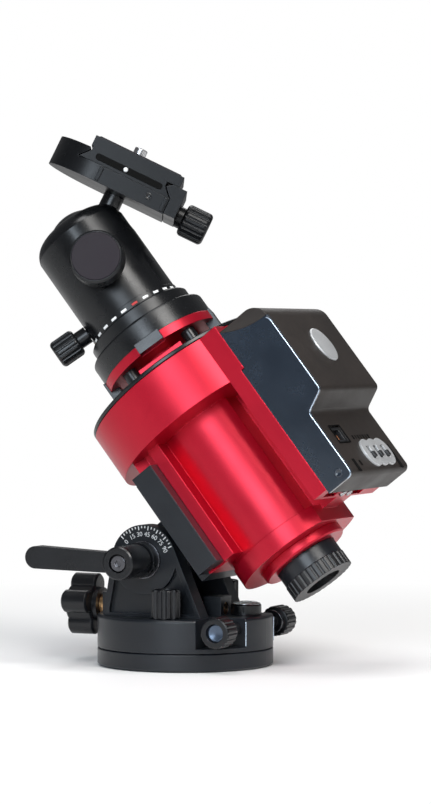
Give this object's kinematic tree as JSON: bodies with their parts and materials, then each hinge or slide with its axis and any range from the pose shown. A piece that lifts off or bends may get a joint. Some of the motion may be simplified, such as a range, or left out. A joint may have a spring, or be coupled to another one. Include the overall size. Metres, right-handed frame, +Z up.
{
  "type": "star tracker mount",
  "caption": "Latitude-adjustable wedge with a motorised polar axis, polar scope, ball head and quick-release camera clamp.",
  "frame": {"origin": "centre of the base's bottom face, where it sits on the tripod", "axes": "+Z up, polar axis climbs towards -X, lock lever side is -Y, polar scope side is +X"},
  "size_m": [0.1723, 0.1009, 0.2494],
  "materials": {
    "ball_metal": "hard anodised black",
    "black_gloss": "glossy moulding",
    "black_matte": "textured moulding",
    "black_metal": "satin black powder coat",
    "board": "solder mask",
    "brass": "turned",
    "cell": "sleeve",
    "glass": "clear",
    "nylon": "natural nylon",
    "red_metal": "crimson anodised",
    "rubber": "soft touch",
    "silver": "bead blasted",
    "steel": "turned"
  },
  "bodies": {
    "tripod_base": {"tripod_disc": "black_metal", "azimuth_post": "steel", "pivot_bolt": "steel"},
    "azimuth_turn": {"wedge_base": "black_metal", "level_cup": "black_metal", "level_vial": "glass", "worm_bush": "brass", "altitude_bolt": "steel", "lever_washer": "steel"},
    "azimuth_screw_near": {"azimuth_screw_near": "black_metal"},
    "azimuth_screw_far": {"azimuth_screw_far": "black_metal"},
    "azimuth_lock_near": {"azimuth_lock_near": "black_metal"},
    "azimuth_lock_far": {"azimuth_lock_far": "black_metal"},
    "lever_insert": {"lever_insert": "black_metal", "lever_screw": "steel"},
    "lock_lever": {"lock_lever": "black_metal"},
    "altitude_drive": {"altitude_worm": "brass", "altitude_knob": "black_matte"},
    "tilt": {"tilt_saddle": "black_metal", "altitude_sector": "steel", "saddle_jaw": "black_metal", "jaw_screws": "steel", "tracker_housing": "red_metal", "ra_bearings": "steel", "scope_collar": "red_metal", "electronics_case": "black_matte", "case_side_cover": "black_gloss", "circuit_board": "board", "battery_pack": "cell", "drive_motor": "steel", "drive_belt": "rubber", "guide_port": "black_matte", "switch_plate": "silver", "scope_tube": "black_metal", "scope_lenses": "glass"},
    "power_switch": {"power_switch": "black_matte"},
    "speed_switch": {"speed_switch": "black_matte"},
    "hemisphere_switch": {"hemisphere_switch": "black_matte"},
    "scope_focus": {"focus_ring": "black_metal"},
    "ra_worm": {"ra_worm": "steel"},
    "motor_pulley": {"motor_pulley": "steel"},
    "polar_axis": {"ra_shaft": "steel", "worm_wheel": "brass", "rim_disc": "black_metal", "top_saddle": "red_metal", "saddle_posts": "black_metal", "adapter_disc": "black_metal", "adapter_stud": "steel", "pan_base": "black_metal"},
    "ball_pan": {"ball_housing": "black_metal", "ball_seat": "nylon"},
    "pan_lock": {"pan_knob": "black_metal"},
    "ball_lock": {"ball_knob": "black_metal", "ball_knob_cap": "rubber"},
    "ball_tilt": {"ball": "ball_metal"},
    "clamp": {"clamp_body": "black_metal", "camera_plate": "black_metal", "camera_screw": "steel"},
    "clamp_jaw": {"clamp_jaw": "black_metal"},
    "clamp_knob": {"clamp_knob": "black_metal"}
  },
  "joints": [
    {"name": "azimuth_adjust", "type": "hinge", "parent": "tripod_base", "child": "azimuth_turn", "pos_m": [0, 0, 0.0086], "axis": [0, 0, 1], "range_deg": [-7, 7]},
    {"name": "azimuth_screw_near_feed", "type": "slide", "parent": "azimuth_turn", "child": "azimuth_screw_near", "axis": [0, 1, 0], "range_m": [-0.0042, 0.0042]},
    {"name": "azimuth_screw_far_feed", "type": "slide", "parent": "azimuth_turn", "child": "azimuth_screw_far", "axis": [0, 1, 0], "range_m": [-0.0042, 0.0042]},
    {"name": "azimuth_lock_near_turn", "type": "hinge", "parent": "tripod_base", "child": "azimuth_lock_near", "pos_m": [0.0053, -0.033, 0.024], "axis": [0, 0, 1], "range_deg": [-30, 330]},
    {"name": "azimuth_lock_far_turn", "type": "hinge", "parent": "tripod_base", "child": "azimuth_lock_far", "pos_m": [0.0053, 0.033, 0.024], "axis": [0, 0, 1], "range_deg": [-30, 330]},
    {"name": "altitude_lock_turn", "type": "hinge", "parent": "azimuth_turn", "child": "lever_insert", "pos_m": [-0.01, -0.03, 0.0503], "axis": [0, -1, 0], "range_deg": [-60, 20]},
    {"name": "lever_lift", "type": "slide", "parent": "lever_insert", "child": "lock_lever", "axis": [0, -1, 0], "range_m": [0, 0.0025]},
    {"name": "altitude_tilt", "type": "hinge", "parent": "azimuth_turn", "child": "tilt", "pos_m": [-0.01, 0, 0.0503], "axis": [0, 1, 0], "range_deg": [-52, 8]},
    {"name": "altitude_knob_turn", "type": "hinge", "parent": "azimuth_turn", "child": "altitude_drive", "pos_m": [-0.04, 0, 0.0267], "axis": [1, 0, 0], "range_deg": [-2341, 361]},
    {"name": "polar_axis_turn", "type": "hinge", "parent": "tilt", "child": "polar_axis", "pos_m": [-0.00191, 0, 0.13302], "axis": [-0.6157, 0, 0.788], "continuous": true},
    {"name": "ra_worm_turn", "type": "hinge", "parent": "tilt", "child": "ra_worm", "pos_m": [0.03823, 0, 0.14661], "axis": [0, 1, 0], "continuous": true},
    {"name": "motor_turn", "type": "hinge", "parent": "tilt", "child": "motor_pulley", "pos_m": [0.05902, 0.017, 0.13494], "axis": [0, 1, 0], "continuous": true},
    {"name": "scope_focus_turn", "type": "hinge", "parent": "tilt", "child": "scope_focus", "pos_m": [0.06766, 0, 0.04397], "axis": [-0.6157, 0, 0.788], "range_deg": [-150, 150]},
    {"name": "power_switch_slide", "type": "slide", "parent": "tilt", "child": "power_switch", "axis": [-0.6157, 0, 0.788], "range_m": [0, 0.003]},
    {"name": "speed_switch_slide", "type": "slide", "parent": "tilt", "child": "speed_switch", "axis": [-0.6157, 0, 0.788], "range_m": [0, 0.003]},
    {"name": "hemisphere_switch_slide", "type": "slide", "parent": "tilt", "child": "hemisphere_switch", "axis": [-0.6157, 0, 0.788], "range_m": [0, 0.003]},
    {"name": "ball_head_pan", "type": "hinge", "parent": "polar_axis", "child": "ball_pan", "pos_m": [-0.02961, 0, 0.16848], "axis": [-0.6157, 0, 0.788], "continuous": true},
    {"name": "pan_lock_turn", "type": "hinge", "parent": "ball_pan", "child": "pan_lock", "pos_m": [-0.05153, -0.01124, 0.15135], "axis": [-0.7306, -0.3746, -0.5708], "range_deg": [-180, 180]},
    {"name": "ball_lock_turn", "type": "hinge", "parent": "ball_pan", "child": "ball_lock", "pos_m": [-0.03184, -0.02782, 0.18958], "axis": [0.2952, -0.9272, 0.2306], "range_deg": [-180, 180]},
    {"name": "ball_tilt", "type": "hinge", "parent": "ball_pan", "child": "ball_tilt", "pos_m": [-0.05085, 0, 0.19566], "axis": [-0.204, 0.9659, -0.1593], "range_deg": [-89, 24]},
    {"name": "camera_rotate", "type": "hinge", "parent": "ball_tilt", "child": "clamp", "pos_m": [-0.05085, 0, 0.19566], "axis": [0.3752, 0.2275, 0.8986], "continuous": true},
    {"name": "clamp_jaw_slide", "type": "slide", "parent": "clamp", "child": "clamp_jaw", "axis": [0.8206, 0.3693, -0.4361], "range_m": [0, 0.004]},
    {"name": "clamp_knob_turn", "type": "hinge", "parent": "clamp_jaw", "child": "clamp_knob", "pos_m": [-0.01069, 0.01999, 0.21022], "axis": [0.8206, 0.3693, -0.4361], "range_deg": [-0.5, 720.5]}
  ],
  "couplings": [
    {"joint": "azimuth_screw_near_feed", "follows": "azimuth_adjust", "m_per_rad": -0.033},
    {"joint": "azimuth_screw_far_feed", "follows": "azimuth_adjust", "m_per_rad": -0.033},
    {"joint": "altitude_knob_turn", "follows": "altitude_tilt", "ratio": 45},
    {"joint": "ra_worm_turn", "follows": "polar_axis_turn", "ratio": -144},
    {"joint": "motor_turn", "follows": "polar_axis_turn", "ratio": -144},
    {"joint": "clamp_knob_turn", "follows": "clamp_jaw_slide", "rad_per_m": 3141.6}
  ]
}
